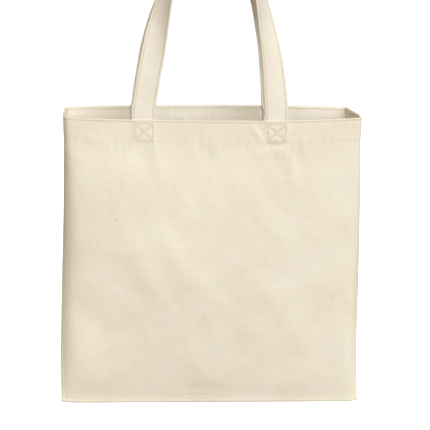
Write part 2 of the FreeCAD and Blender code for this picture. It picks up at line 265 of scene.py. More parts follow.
def folds(side, s, h):
    """How far the cloth stands proud of its smooth shape, in mm, outward."""
    edge = smooth(0, 30, HALF - np.abs(s)) * smooth(0, 34, TALL - h)
    body = smooth(24, 60, h) * edge
    d = 0.0
    if side < 0:
        # long soft diagonals across the face
        d = d + ridge(s, h, (-110, 128), (-44, 266), 18, 0.62, 1.0, 0.25)
        d = d + ridge(s, h, (-84, 118), (10, 254), 25, 1.3, 1.0, 0.3)
        d = d + ridge(s, h, (24, 58), (66, 118), 18, 0.55, 1.0, 0.25)
        d = d - ridge(s, h, (60, 150), (150, 300), 26, 0.2)
        d = d + ridge(s, h, (-160, 30), (-60, 100), 30, 0.42)
        d = d + ridge(s, h, (110, 40), (150, 190), 20, 0.35)
        # low diagonal across the bottom
        d = d - ridge(s, h, (-66, 350), (110, 386), 9, 0.32, 0.8)
        d = d + ridge(s, h, (0, 334), (190, 360), 22, 0.12) - ridge(s, h, (50, 312), (196, 326), 26, 0.36)
        d = d - ridge(s, h, (-172, 220), (-120, 300), 22, 0.8)
        d = d + ridge(s, h, (-186, 296), (-120, 366), 22, 0.55)
        # pull lines below the sewn strap ends
        for c, k in zip(sewn_at(side), (0.8, 1.0)):
            d = d + k * ridge(s, h, (c - 12, 24), (c - 30, 86), 7, 0.45)
            d = d + k * ridge(s, h, (c + 12, 24), (c + 26, 92), 7, 0.4)
            d = d - k * ridge(s, h, (c - 2, 26), (c + 3, 74), 9, 0.45)
        # creases left of the right-hand strap end
        d = d + ridge(s, h, (42, 0), (62, 26), 4.6, 0.42)
        d = d - ridge(s, h, (50, 0), (68, 32), 4.4, 0.34)
        d = d - ridge(s, h, (92, 28), (58, 31), 4.2, 0.36)
        d = d - ridge(s, h, (-24, 8), (4, 60), 7, 0.3)
        d = d + ridge(s, h, (96, 6), (124, 66), 6, 0.3)
    else:
        d = d + ridge(s, h, (-130, 120), (-30, 300), 18, 0.9)
        d = d + ridge(s, h, (120, 70), (20, 220), 16, 0.9)
        d = d - ridge(s, h, (150, 180), (40, 330), 20, 0.9)
        d = d + ridge(s, h, (-60, 60), (-110, 190), 14, 0.6)
        d = d - ridge(s, h, (-150, 320), (90, 372), 15, 1.0)
        for c in sewn_at(side):
            d = d + ridge(s, h, (c - 12, 24), (c - 28, 86), 7, 0.5)
            d = d + ridge(s, h, (c + 12, 24), (c + 26, 92), 7, 0.45)
            d = d - ridge(s, h, (c, 26), (c, 74), 9, 0.5)
    k = 31 if side < 0 else 57
    d = d * edge * (1.85 if side < 0 else 1.7)
    # drawn-out diagonal drapes, both ways
    along, across = (0.50 * s + 0.86 * h), (0.86 * s - 0.50 * h)
    d = d + body * 0.5 * noise(across / 30 + 0.4 * noise(s / 60, h / 60, k + 7), along / 120, k + 5) * smooth(-0.5, 0.4, noise(s / 90, h / 110, k + 6))
    along, across = (-0.42 * s + 0.9 * h), (0.9 * s + 0.42 * h)
    d = d + body * 0.32 * noise(across / 22, along / 95, k + 8) * smooth(-0.3, 0.5, noise(s / 80, h / 100, k + 9))
    d = d + body * (0.75 * noise(s / 74, h / 96, k) + 0.42 * noise(s / 33 + h / 120, h / 48, k + 1)
                    + 0.16 * noise(s / 13, h / 19, k + 2))
    # small upright puckers that run down from the hem's lower row
    near = np.exp(-(((h - HEM) / 17.0) ** 2))
    d = d + near * smooth(4, 26, HALF - np.abs(s)) * (0.42 * noise(s / 9.0, h / 34, k + 3) + 0.2 * noise(s / 4.4, h / 22, k + 4))
    if side < 0:
        d = d - 0.62 * smooth(0, 25, h) * smooth(78, 26, h) * edge
    # hem: a little thicker, drawn down along its rows
    d = d + 0.18 * smooth(HEM + 0.8, HEM - 1.2, h)
    d = d - 0.15 * np.exp(-(((h - (HEM - 2.5)) / 1.1) ** 2)) - 0.2 * np.exp(-(((h - 1.9) / 1.0) ** 2))
    for c in sewn_at(side):
        d = d + 0.34 * strap_bump(s, h, c) + cross_relief(s, h, c)
    # the turned seam allowance makes a faint band down each side
    q = HALF - np.abs(s)
    d = d + 0.30 * smooth(5.4, 3.2, q) * smooth(0, 1.2, q) - 0.22 * np.exp(-(((q - 4.8) / 1.1) ** 2))
    # and along the bottom
    b = TALL - h
    d = d + 0.32 * smooth(5.6, 3.4, b) * smooth(0, 1.2, b) - 0.2 * np.exp(-(((b - 5.0) / 1.2) ** 2))
    return d


# ------------------------------------------------------------------ panel mesh
ROW_AT = (1.5, HEM - 2.5)   # thread rows below the rim
IN_HEM = 1.3   # hem's inner layer from the outer one
ALLOW_IN = 0.9  # a turned allowance from the cloth it belongs to


def rows():
    """The path down a panel, from the hem's turned edge inside, over the rim,
    down the outside and round the bottom edge: (height below rim, inward
    offset, length along the cloth)."""
    path = []
    r = IN_HEM / 2
    path += [(HEM - 2.2, IN_HEM - 0.45), (HEM - 0.9, IN_HEM - 0.42), (HEM - 0.15, IN_HEM - 0.2)]
    path += [(x, IN_HEM) for x in np.arange(HEM - 0.6, 0.4, -1.1)]
    for a in np.linspace(0, math.pi, 9):
        path.append((-r * math.sin(a), r + r * math.cos(a)))
    path += [(x, 0.0) for x in np.concatenate([np.arange(0.8, 44, 1.1), np.linspace(44.5, TALL - 14, 158), np.arange(TALL - 12.8, TALL - 0.9, 1.2)])]
    # the raw bottom edge, turned up inside
    r = ALLOW_IN / 2
    for a in np.linspace(0, math.pi, 8):
        path.append((TALL - r + r * math.sin(a), r - r * math.cos(a)))
    path += [(TALL - x, ALLOW_IN) for x in (1.4, 2.6, 4.0, 5.5, 7.0, 8.4)]
    p = np.array(path)
    step = np.hypot(np.diff(p[:, 0]), np.diff(p[:, 1]))
    return p, np.concatenate([[0], np.cumsum(step)])


ROWS, ALONG = rows()


def base_grid(side, hs):
    X = np.zeros((len(hs), len(Q)))
    Y = np.zeros_like(X)
    for i, h in enumerate(hs):
        hc = max(float(h), 0.0)
        allow = float(0.16 + 0.84 * smooth(HEM + 2, HEM + 12, hc) * smooth(0, 16, TALL - hc))
        X[i], Y[i] = section(side, hc, allow)
    return X, Y


def normals(P, flip):
    du = np.gradient(P, axis=1)
    dv = np.gradient(P, axis=0)
    n = np.cross(du, dv)
    n /= np.maximum(np.linalg.norm(n, axis=2, keepdims=True), 1e-12)
    return n * flip


def panel_points(side):
    hs = np.maximum(ROWS[:, 0], 0.0)
    X, Y = base_grid(side, hs)
    Z = RIM - np.repeat(ROWS[:, 0][:, None], len(Q), 1)
    # smooth outward direction of the section, kept level
    tx, ty = np.gradient(X, axis=1), np.gradient(Y, axis=1)
    ln = np.maximum(np.hypot(tx, ty), 1e-9)
    nx, ny = -ty / ln * side, tx / ln * side
    s = S[None, :]
    h = hs[:, None]
    out = folds(side, s, h) - ROWS[:, 1][:, None]
    inside = ROWS[:, 1] > 0.2
    # the hem's inner layer ripples a little on its own
    out = out - inside[:, None] * 0.25 * (0.5 + noise(s / 21, h / 30, 91 if side < 0 else 92)) * smooth(2, 12, h) * smooth(60, 40, h)
    keep = smooth(-1.0, 3.0, Q)[None, :] * smooth(-1.0, 3.0, 2 * HALF - Q)[None, :]
    out = np.where(inside[:, None], out, out * keep)
    X = X + nx * out
    Y = Y + ny * out
    # a hand-cut, hand-hemmed rim isn't dead level
    Z = Z + ((0.6 if side < 0 else 0.35) * noise(s / 85, 0.5, 77 if side < 0 else 78) + 0.3 * noise(s / 27, 2.5, 77 if side < 0 else 78) - 0.15) * smooth(60, 0, h)
    return np.stack([X, Y, Z], 2)


def sheet_mesh(name, P, thick, coords, flip):
    """Closed thin solid around a grid of mid-surface points."""
    n = normals(P, flip)
    R, C = P.shape[:2]
    outer, inner = P + n * thick / 2, P - n * thick / 2
    v = np.concatenate([outer.reshape(-1, 3), inner.reshape(-1, 3)]) * MM
    idx = np.arange(R * C).reshape(R, C)
    a, b, c, d = idx[:-1, :-1], idx[:-1, 1:], idx[1:, 1:], idx[1:, :-1]
    f_out = np.stack([a, d, c, b], -1).reshape(-1, 4)
    f_in = np.stack([a, b, c, d], -1).reshape(-1, 4) + R * C
    if flip > 0:
        f_out, f_in = f_out[:, ::-1], f_in[:, ::-1]
    loop = np.concatenate([idx[0, :-1], idx[:-1, -1], idx[-1, :0:-1], idx[:0:-1, 0]])
    nxt = np.roll(loop, -1)
    wall = np.stack([loop, nxt, nxt + R * C, loop + R * C], -1)
    if flip > 0:
        wall = wall[:, ::-1]
    faces = np.concatenate([f_out, f_in, wall])
    return make_mesh(name, v, faces, np.concatenate([coords.reshape(-1, 3)] * 2) * MM)


def make_mesh(name, verts, faces, coords=None, smooth_shade=True):
    me = bpy.data.meshes.new(name)
    me.vertices.add(len(verts))
    me.vertices.foreach_set("co", np.ascontiguousarray(verts, np.float32).ravel())
    faces = np.ascontiguousarray(faces, np.int32)
    me.loops.add(faces.size)
    me.loops.foreach_set("vertex_index", faces.ravel())
    me.polygons.add(len(faces))
    k = faces.shape[1]
    me.polygons.foreach_set("loop_start", np.arange(0, faces.size, k, dtype=np.int32))
    me.polygons.foreach_set("use_smooth", np.full(len(faces), smooth_shade))
    me.update(calc_edges=True)
    me.validate()
    if coords is not None:
        at = me.attributes.new("cloth", "FLOAT_VECTOR", "POINT")
        at.data.foreach_set("vector", np.ascontiguousarray(coords, np.float32).ravel())
    ob = bpy.data.objects.new(name, me)
    bpy.context.collection.objects.link(ob)
    return ob


panels, grids = {}, {}
for side, name in ((-1, "front_cloth"), (1, "back_cloth")):
    P = panel_points(side)
    grids[side] = P
    R, C = P.shape[:2]
    cl = np.zeros((R, C, 3))
    cl[..., 0] = S[None, :]
    cl[..., 1] = ALONG[:, None]
    cl[..., 2] = 0 if side < 0 else 400
    panels[side] = sheet_mesh(name, P, CLOTH, cl, side)



def cross_lines(c):
    a, top, low = 10.8, CROSS_TOP, CROSS_TOP + CROSS_TALL
    return [(c - a, top, c + a, top), (c + a, top, c + a, low), (c + a, low, c - a, low), (c - a, low, c - a, top),
            (c - a, top, c + a, low), (c + a, top, c - a, low)]


# painted shade where the needle went through, along the squares and crosses
for side in (-1, 1):
    S2, H2 = np.meshgrid(S, np.maximum(ROWS[:, 0], 0))
    dark = np.zeros_like(S2)
    for c in sewn_at(side):
        for x0, y0, x1, y1 in cross_lines(c):
            n = max(2, int(round(math.hypot(x1 - x0, y1 - y0) / 3.1)))
            for t in np.arange(n + 1) / n:
                r2 = (S2 - x0 - (x1 - x0) * t) ** 2 + (H2 - y0 - (y1 - y0) * t) ** 2
                dark = np.maximum(dark, np.exp(-r2 / 0.95**2))
    needle_shade_attr = panels[side].data.attributes.new("needle", "FLOAT", "POINT")
    needle_shade_attr.data.foreach_set("value", np.ascontiguousarray(np.concatenate([dark.ravel()] * 2), np.float32))

OUT0 = int(np.argmax((ROWS[:, 1] < 0.01) & (ROWS[:, 0] > 0.5)))   # first row of the outside


def face_point(side, s, h):
    """Point, downward direction, sideways direction and outward normal on the
    outside of a panel's cloth."""
    P = grids[side][OUT0:]
    hh = ROWS[OUT0:, 0]
    i = np.clip(np.searchsorted(hh, h) - 1, 0, len(hh) - 2)
    j = np.clip(np.searchsorted(S, s) - 1, 0, len(S) - 2)
    fi = (h - hh[i]) / (hh[i + 1] - hh[i])
    fj = (s - S[j]) / (S[j + 1] - S[j])
    fi, fj = np.asarray(fi)[..., None], np.asarray(fj)[..., None]
    p = (P[i, j] * (1 - fi) * (1 - fj) + P[i + 1, j] * fi * (1 - fj) + P[i, j + 1] * (1 - fi) * fj + P[i + 1, j + 1] * fi * fj)
    down = P[i + 1, j] - P[i, j]
    across = P[i, j + 1] - P[i, j]
    n = np.cross(across, down) * side
    down /= np.linalg.norm(down, axis=-1, keepdims=True)
    across /= np.linalg.norm(across, axis=-1, keepdims=True)
    n /= np.linalg.norm(n, axis=-1, keepdims=True)
    return p, down, across, n


# ----------------------------------------------------------------------- straps
DROP = -RIM   # rim to the hang point


def strap_path(side, count=260):
    """Stations along one whole strap: centre, width direction, outward normal,
    length along it. Both ends are sewn inside the hem; the arch between makes a
    quarter turn up each leg."""
    st = []
    # arch
    base_z = 2.0
    h = DROP + 1.0 - base_z
    phis = np.linspace(0, math.pi, 1201)
    u = np.clip(np.sin(phis), 0, 1) ** (4 / 3)
    z = RIM + base_z + h * u
    up = z - RIM
    left = 1 - smooth(math.radians(60), math.radians(120), phis)
    x = -SPREAD * np.cos(phis)
    foot = {-1: SEWN[side][-1], 1: SEWN[side][1]}
    x = x + (foot[-1] + SPREAD) * left + (foot[1] - SPREAD) * (1 - left)
    # neither leg is quite what the other is: how far each one leans in
    pull = 10.6 * (1 - np.exp(-np.maximum(up - 8, 0) / 115))
    if side < 0:
        x = x + pull * (1 - smooth(math.radians(40), math.radians(137), phis))
    else:
        x = x + pull * (1 - smooth(math.radians(40), math.radians(100), phis)) - 4.2 * smooth(70, 160, up) * smooth(math.radians(80), math.radians(140), phis)
    end_p, end_n = {}, {}
    end_y = {}
    for sx in (-1, 1):
        p, _, _, n = face_point(side, np.array(sewn_s(side, sx)), np.array(6.0))
        end_y[sx] = (p - n * (IN_HEM + CLOTH / 2 + 1.0 + 0.1))[1]
    y0 = end_y[-1] * left + end_y[1] * (1 - left)
    crown = side * 14.6
    lean = u ** 1.15
    y = y0 * (1 - lean) + crown * lean
    # the quarter turn each leg makes on its way up
    turn_l = np.interp(up, [0, 55, 72, 85, 103, 121, 139, 165, 200, 228, 240], [0, 2, 7, 14, 27, 42, 55, 70, 83, 89, 90])
    turn_r = np.interp(up, [0, 15, 47, 66, 85, 103, 121, 140, 165, 200, 228, 240], [0, 2, 19, 28, 37, 45, 54, 64, 76, 86, 89.5, 90])
    turn = turn_l * left + turn_r * (1 - left)
    box = np.ones(41) / 41
    turn = np.convolve(np.pad(turn, 20, mode="edge"), box, mode="valid")
    turn = np.radians(turn)
    tan = np.stack([np.gradient(x), np.zeros_like(x), np.gradient(z)], 1)
    tan[0], tan[-1] = (0, 0, 1), (0, 0, -1)
    tan /= np.linalg.norm(tan, axis=1, keepdims=True)
    flat = np.stack([-tan[:, 2], np.zeros_like(x), tan[:, 0]], 1)
    w = flat * np.cos(turn)[:, None] + np.array([0, -side, 0]) * np.sin(turn)[:, None]
    c = np.stack([x, y, z], 1)
    # sewn ends, continued straight down inside the hem
    low = []
    for sx, order in ((-1, 1), (1, -1)):
        hs = np.linspace(HEM - 1.6, 0.5, 26)
        p, dn, ac, n = face_point(side, np.full(26, sewn_s(side, sx)), hs)
        cc = p - n * (IN_HEM + CLOTH / 2 + 1.0 + 0.1)
        low.append((cc, ac * -order))
    c = np.concatenate([low[0][0], c[6:-6], low[1][0][::-1]])
    w = np.concatenate([low[0][1], w[6:-6], low[1][1][::-1]])
    seg = np.linalg.norm(np.diff(c, axis=0), axis=1)
    ln = np.concatenate([[0], np.cumsum(seg)])
    t = np.linspace(0, ln[-1], count)
    c = np.stack([np.interp(t, ln, c[:, k]) for k in range(3)], 1)
    w = np.stack([np.interp(t, ln, w[:, k]) for k in range(3)], 1)
    # ease the joins
    for _ in range(3):
        c[1:-1] = c[1:-1] * 0.5 + (c[:-2] + c[2:]) * 0.25
        w[1:-1] = w[1:-1] * 0.5 + (w[:-2] + w[2:]) * 0.25
    tan = np.gradient(c, axis=0)
    tan /= np.linalg.norm(tan, axis=1, keepdims=True)
    w -= tan * (w * tan).sum(1, keepdims=True)
    w /= np.linalg.norm(w, axis=1, keepdims=True)
    n = np.cross(tan, w)
    return c, w, n, t


def strap_profile():
    """Half-outline of the folded strap across its width: (across, half thickness)."""
    half = STRAP / 2
    pts = []
    for a in np.concatenate([np.linspace(-half, -half + 1.0, 5), np.linspace(-half + 1.5, -half + 4.2, 8),
                             np.linspace(-half + 5.5, half - 5.5, 14), np.linspace(half - 4.2, half - 1.5, 8), np.linspace(half - 1.0, half, 5)]):
        e = half - abs(a)
        t = 1.0 * math.sqrt(max(0.0, 1 - max(0.0, 1 - e / 0.95) ** 2))
        t -= 0.34 * math.exp(-(((e - 2.7) / 0.6) ** 2))
        t += 0.12 * math.exp(-(((e - 1.3) / 0.7) ** 2))
        t -= 0.10 * float(smooth(3.5, 8.0, e))
        pts.append((a, t))
    return np.array(pts)


def strap_mesh(name, side):
    c, w, n, t = strap_path(side)
    prof = strap_profile()
    top, bot = prof, prof[-2:0:-1] * np.array([1, -1])
    ring = np.concatenate([top, bot])
    a, b = ring[:, 0], ring[:, 1]
    # soft hand to the strap: edges wander, faces ripple
    T, A = np.meshgrid(t, a, indexing="ij")
    k = 11 if side < 0 else 17
    wave = 0.35 * noise(T / 30, A / 22, k) + 0.14 * noise(T / 9, A / 9, k + 1)
    wig = 0.30 * noise(T / 26, np.sign(A) * 3 + 0.5, k + 2)
    free = smooth(24, 40, T) * smooth(24, 40, t[-1] - T)
    cup = 1.3 * ((A / (STRAP / 2)) ** 2 - 0.4) * free * (0.8 + 0.5 * noise(T / 70, 0.5, k + 3))
    P = (c[:, None] + w[:, None] * (A + wig * np.abs(A) / (STRAP / 2) * free)[..., None]
         + n[:, None] * (b[None, :] + wave * free + cup)[..., None])
    R, C = P.shape[:2]
    idx = np.arange(R * C).reshape(R, C)
    nx = np.roll(idx, -1, 1)
    f = np.stack([idx[:-1], nx[:-1], nx[1:], idx[1:]], -1).reshape(-1, 4)
    caps = []
    m = len(top)
    for row, rev in ((0, False), (R - 1, True)):
        base = idx[row]
        for j in range(m - 1):
            lo = [base[j], base[j + 1], base[(C - (j + 1)) % C], base[(C - j) % C]]
            caps.append(lo[::-1] if rev else lo)
    f = np.concatenate([f, np.array([q for q in caps if len(set(q)) == 4])])
    tri = [q for q in caps if len(set(q)) < 4]
    cl = np.zeros((R, C, 3))
    cl[..., 0] = A
    cl[..., 1] = T
    cl[..., 2] = (800 if side < 0 else 1200) + (b[None, :] < 0) * 60
    ob = make_mesh(name, P.reshape(-1, 3) * MM, f, cl.reshape(-1, 3) * MM)
    import bmesh
    bm = bmesh.new()
    bm.from_mesh(ob.data)
    if tri:
        bm.verts.ensure_lookup_table()
        for q in tri:
            u = list(dict.fromkeys(q))
            if len(u) == 3:
                try:
                    bm.faces.new([bm.verts[i] for i in u])
                except ValueError:
                    pass
    bmesh.ops.recalc_face_normals(bm, faces=bm.faces)
    for fc in bm.faces:
        fc.smooth = True
    bm.to_mesh(ob.data)
    bm.free()
    return ob, (c, w, n, t, wave[:, 0] * 0)


straps = {}
for side, name in ((-1, "front_strap"), (1, "back_strap")):
    straps[side] = strap_mesh(name, side)


# --------------------------------------------------------------------- stitches
def stitch_mesh(name, P, D, N, length, wide=0.66, high=0.26, rings=5, around=6):
    """Many short stitches, each a rounded length of thread lying on the cloth:
    centres, directions and normals."""
    P, D, N = np.asarray(P), np.asarray(D), np.asarray(N)
    D = D / np.linalg.norm(D, axis=1, keepdims=True)
    N = N - D * (N * D).sum(1, keepdims=True)
    N = N / np.linalg.norm(N, axis=1, keepdims=True)
    B = np.cross(D, N)
    th = np.linspace(0, math.pi, rings + 2)
    vs, fs = [(-1.0, 0.0, 0.0)], []
    for k in range(1, rings + 1):
        r = math.sin(th[k]) ** 0.6
        for j in range(around):
            a = 2 * math.pi * j / around
            vs.append((-math.cos(th[k]), r * math.cos(a), r * math.sin(a)))
    vs.append((1.0, 0.0, 0.0))
    for j in range(around):
        k = (j + 1) % around
        fs.append((0, 1 + k, 1 + j))
        last = 1 + (rings - 1) * around
        fs.append((len(vs) - 1, last + j, last + k))
        for i in range(rings - 1):
            a, b = 1 + i * around + j, 1 + i * around + k
            fs.append((a, b, b + around))
            fs.append((a, b + around, a + around))
    vs, fs = np.array(vs), np.array(fs)
    ln = np.asarray(length) * np.ones(len(P))
    V = (P[:, None] + D[:, None] * (vs[None, :, 0] * ln[:, None] / 2)[..., None]
         + B[:, None] * (vs[None, :, 1] * wide / 2)[..., None]
         + N[:, None] * ((vs[None, :, 2] * high) - 0.25 * high * vs[None, :, 0] ** 2)[..., None])
    F = fs[None] + (np.arange(len(P)) * len(vs))[:, None, None]
    cl = np.zeros(V.shape)
    cl[..., 0] = vs[None, :, 1] * 0.5
    cl[..., 1] = (np.arange(len(P)) * 3.7)[:, None] + vs[None, :, 0] * 1.5
    # distance from the stitch's middle, read by the thread material to paint shade at its ends
    cl[..., 2] = np.abs(vs[None, :, 0])
    return make_mesh(name, V.reshape(-1, 3) * MM, F.reshape(-1, 3), cl.reshape(-1, 3) * MM)


def row_on_face(side, s0, h0, s1, h1, pitch=3.4, lift=None):
    """Stitch centres along a line in flat cloth coordinates."""
    n = max(2, int(round(math.hypot(s1 - s0, h1 - h0) / pitch)))
    t = (np.arange(n) + 0.5) / n
    s, h = s0 + (s1 - s0) * t, h0 + (h1 - h0) * t
    p, dn, ac, nn = face_point(side, s, h)
    ln = math.hypot(s1 - s0, h1 - h0)
    d = ac * (s1 - s0) / ln + dn * (h1 - h0) / ln
    return p + nn * (CLOTH / 2 + (0.08 if lift is None else lift)), d, nn


def gather(parts):
    return [np.concatenate([p[k] for p in parts]) for k in range(3)]


made = []
for side, word in ((-1, "front"), (1, "back")):
    # hem rows: along the rim and along the hem's lower edge, outside, and the same rows where they show inside
    parts = []
    for h in ROW_AT:
        parts.append(row_on_face(side, -HALF + 2, h, HALF - 2, h))
    inner = []
    for part in parts:
        p, d, n = part
        inner.append((p - n * (IN_HEM + CLOTH + 0.35), d, -n))
    P, D, N = gather(parts + inner)
    ob = stitch_mesh(word + "_hem_thread", P, D, N, 2.7)
    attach(ob, "bag")
    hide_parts(word + "_hem_stitching")
    made.append(ob)
    # squares with a cross over the sewn strap ends
    for sx, hand in ((-1, "left"), (1, "right")):
        c = sewn_s(side, sx)
        parts = [row_on_face(side, *l, pitch=3.1, lift=0.10) for l in cross_lines(c)]
        inner = [(p - n * (IN_HEM + CLOTH + 2.35), d, -n) for p, d, n in parts]
        P, D, N = gather(parts + inner)
        ob = stitch_mesh("%s_%s_cross_thread" % (word, hand), P, D, N, 2.5)
        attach(ob, "bag")
        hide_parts("%s_%s_cross_stitch" % (word, hand))
        made.append(ob)
    # rows down both edges of the strap, on both faces
    sob, (c, w, n, t, _) = straps[side]
    cent = (np.arange(int(t[-1] / 3.4)) + 0.5) * 3.4
    parts = []
    me = sob.data
    for e in (-1, 1):
        for f in (-1, 1):
            cc = np.stack([np.interp(cent, t, c[:, k]) for k in range(3)], 1)
            ww = np.stack([np.interp(cent, t, w[:, k]) for k in range(3)], 1)
            nn = np.stack([np.interp(cent, t, n[:, k]) for k in range(3)], 1)
            T = cent
            A = np.full_like(cent, e * (STRAP / 2 - 2.7))
            k = 11 if side < 0 else 17
            free = smooth(24, 40, T) * smooth(24, 40, t[-1] - T)
            wave = 0.35 * noise(T / 30, A / 22, k) + 0.14 * noise(T / 9, A / 9, k + 1)
            wig = 0.30 * noise(T / 26, np.sign(A) * 3 + 0.5, k + 2)
            cup = 1.3 * ((A / (STRAP / 2)) ** 2 - 0.4) * free * (0.8 + 0.5 * noise(T / 70, 0.5, k + 3))
            pos = (cc + ww * (A + wig * np.abs(A) / (STRAP / 2) * free)[:, None]
                   + nn * (f * 0.74 + wave * free + cup)[:, None])
            dd = np.gradient(pos, axis=0)
            parts.append((pos, dd, nn * f))
    P, D, N = gather(parts)
    ob = stitch_mesh(word + "_strap_thread", P, D, N, 2.6)
    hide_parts(word + "_handle_stitching")
    made.append(ob)
    straps[side] = (sob, ob)


# ------------------------------------------------------------ overlocked edges
def tube_mesh(name, pts, radius, around=5):
    pts = np.asarray(pts, float)
    tan = np.gradient(pts, axis=0)
    tan /= np.maximum(np.linalg.norm(tan, axis=1, keepdims=True), 1e-9)
    up = np.array([0.0, 0.31, 0.95])
    b = np.cross(tan, up)
    b /= np.maximum(np.linalg.norm(b, axis=1, keepdims=True), 1e-9)
    m = np.cross(b, tan)
    ang = 2 * np.pi * np.arange(around) / around
    P = pts[:, None] + radius * (b[:, None] * np.cos(ang)[None, :, None] + m[:, None] * np.sin(ang)[None, :, None])
    R = len(pts)
    idx = np.arange(R * around).reshape(R, around)
    nx = np.roll(idx, -1, 1)
    f = np.stack([idx[:-1], nx[:-1], nx[1:], idx[1:]], -1).reshape(-1, 4)
    cap = []
    V = np.concatenate([P.reshape(-1, 3), pts[[0, -1]]])
    a, z = R * around, R * around + 1
    tri = [(a, nx[0, j], idx[0, j]) for j in range(around)] + [(z, idx[-1, j], nx[-1, j]) for j in range(around)]
    cl = np.zeros((len(V), 3))
    cl[:R * around, 1] = np.repeat(np.concatenate([[0], np.cumsum(np.linalg.norm(np.diff(pts, axis=0), axis=1))]), around)
    me_f = np.concatenate([np.stack([f[:, 0], f[:, 1], f[:, 2]], 1), np.stack([f[:, 0], f[:, 2], f[:, 3]], 1), np.array(tri)])
    return make_mesh(name, V * MM, me_f, cl * MM)


def overlock(p0, inward, along, count, reach=3.2, thick=1.7):
    """Thread looping over a raw edge that runs along p0: each loop goes in over
    one face, across and back over the other."""
    pts = []
    for i in range(len(p0)):
        k = i % 4
        off = (0.0, reach, reach, 0.0)[k]
        yo = (-thick / 2, -thick / 2, thick / 2, thick / 2)[k]
        pts.append(p0[i] + inward[i] * off + np.array([0, yo, 0]))
    return np.array(pts)


for sx, word in ((-1, "left"), (1, "right")):
    hs = np.arange(HEM + 14, TALL - 18, 0.9)
    edge = []
    for h in hs:
        x, y = section(-1, float(h), 1.0)
        xb, yb = section(1, float(h), 1.0)
        j = 0 if sx < 0 else -1
        edge.append([x[j], (y[j] + yb[j]) / 2, RIM - h])
    edge = np.array(edge)
    toward = np.repeat([[sx * 1.0, 0, 0]], len(edge), 0)
    ob = tube_mesh(word + "_seam_overlock", overlock(edge, toward, None, 0), 0.22)
    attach(ob, "bag")
    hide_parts(word + "_side_seam")
    made.append(ob)

# bottom seam: both cloths turned up inside, overlocked together
xs = np.arange(-HALF + 9, HALF - 9, 1.6)
base = np.stack([xs + float(CENTRE(TALL)), np.zeros_like(xs), np.full_like(xs, RIM - TALL + 9.2)], 1)
ob = tube_mesh("bottom_seam_overlock", overlock(base, np.repeat([[0, 0, -1.0]], len(xs), 0), None, 0), 0.22)
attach(ob, "bag")
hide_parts("bottom_seam")
made.append(ob)


# -------------------------------------------------------------------- materials
def node(nt, kind, x=0, y=0, **kw):
    n = nt.nodes.new(kind)
    n.location = (x, y)
    for k, v in kw.items():
        if hasattr(n, k):
            setattr(n, k, v)
    return n


